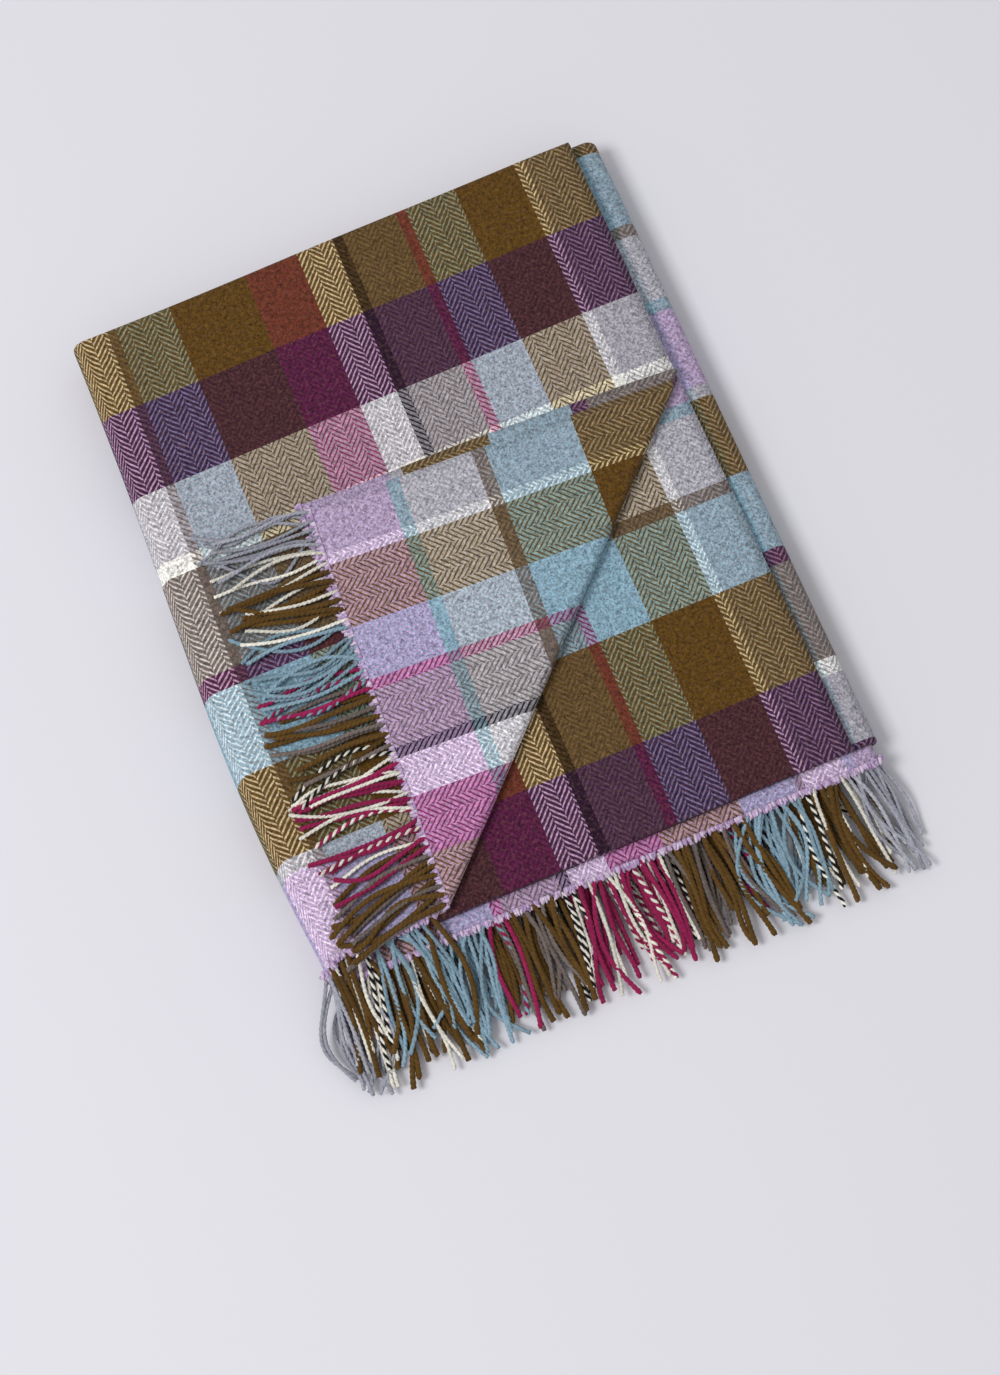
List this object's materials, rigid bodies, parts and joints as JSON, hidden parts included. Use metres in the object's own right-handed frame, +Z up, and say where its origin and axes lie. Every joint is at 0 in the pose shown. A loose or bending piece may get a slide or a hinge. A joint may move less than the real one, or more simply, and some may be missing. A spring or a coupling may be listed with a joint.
{
  "type": "folded throw blanket",
  "caption": "Folded plaid wool throw: a stacked herringbone cloth with its top corner turned back on a hinged crease and twisted fringe along both hems.",
  "frame": {"origin": "under the middle of the folded throw with its end fringe, at the height that it rests on", "axes": "+X across the folded throw, +Y from the end fringe towards the folded end, +Z up"},
  "size_m": [0.373, 0.5366, 0.0378],
  "materials": {
    "plaid_wool": "brushed woollen herringbone twill in a large multicolour plaid",
    "fringe_wool": "twisted two-strand woollen bundles in the colours of the warp"
  },
  "bodies": {
    "stack": {"corner_crease": "plaid_wool", "quarter_1_bottom_fold": "plaid_wool", "quarter_1_fringe_ply_1": "fringe_wool", "quarter_1_fringe_ply_4": "fringe_wool", "quarter_1_inner_top_fold": "plaid_wool", "quarter_1_outer_top_fold": "plaid_wool", "quarter_1_ply_1": "plaid_wool", "quarter_1_ply_2": "plaid_wool", "quarter_1_ply_3": "plaid_wool", "quarter_1_ply_4": "plaid_wool", "quarter_2_bottom_fold": "plaid_wool", "quarter_2_fringe_ply_1": "fringe_wool", "quarter_2_fringe_ply_4": "fringe_wool", "quarter_2_inner_top_fold": "plaid_wool", "quarter_2_outer_top_fold": "plaid_wool", "quarter_2_ply_1": "plaid_wool", "quarter_2_ply_2": "plaid_wool", "quarter_2_ply_3": "plaid_wool", "quarter_2_ply_4": "plaid_wool", "quarter_3_bottom_fold": "plaid_wool", "quarter_3_fringe_ply_1": "fringe_wool", "quarter_3_fringe_ply_4": "fringe_wool", "quarter_3_inner_top_fold": "plaid_wool", "quarter_3_outer_top_fold": "plaid_wool", "quarter_3_ply_1": "plaid_wool", "quarter_3_ply_2": "plaid_wool", "quarter_3_ply_3": "plaid_wool", "quarter_3_ply_4": "plaid_wool", "quarter_4_bottom_fold": "plaid_wool", "quarter_4_fringe_ply_1": "fringe_wool", "quarter_4_fringe_ply_4": "fringe_wool", "quarter_4_inner_top_fold": "plaid_wool", "quarter_4_outer_top_fold": "plaid_wool", "quarter_4_ply_1": "plaid_wool", "quarter_4_ply_2": "plaid_wool", "quarter_4_ply_3": "plaid_wool", "quarter_4_ply_4": "plaid_wool", "side_fold_1_2": "plaid_wool", "side_fold_2_3": "plaid_wool", "side_fold_3_4": "plaid_wool"},
    "corner": {"corner_fringe_ply_1": "fringe_wool", "corner_fringe_ply_4": "fringe_wool", "corner_ply_1": "plaid_wool", "corner_ply_4": "plaid_wool"}
  },
  "joints": [
    {"name": "corner_fold", "type": "hinge", "parent": "stack", "child": "corner", "pos_m": [0.16848, 0.0912, 0.0336], "axis": [0.7162, 0.6979, 0], "range_deg": [0, 172]}
  ]
}
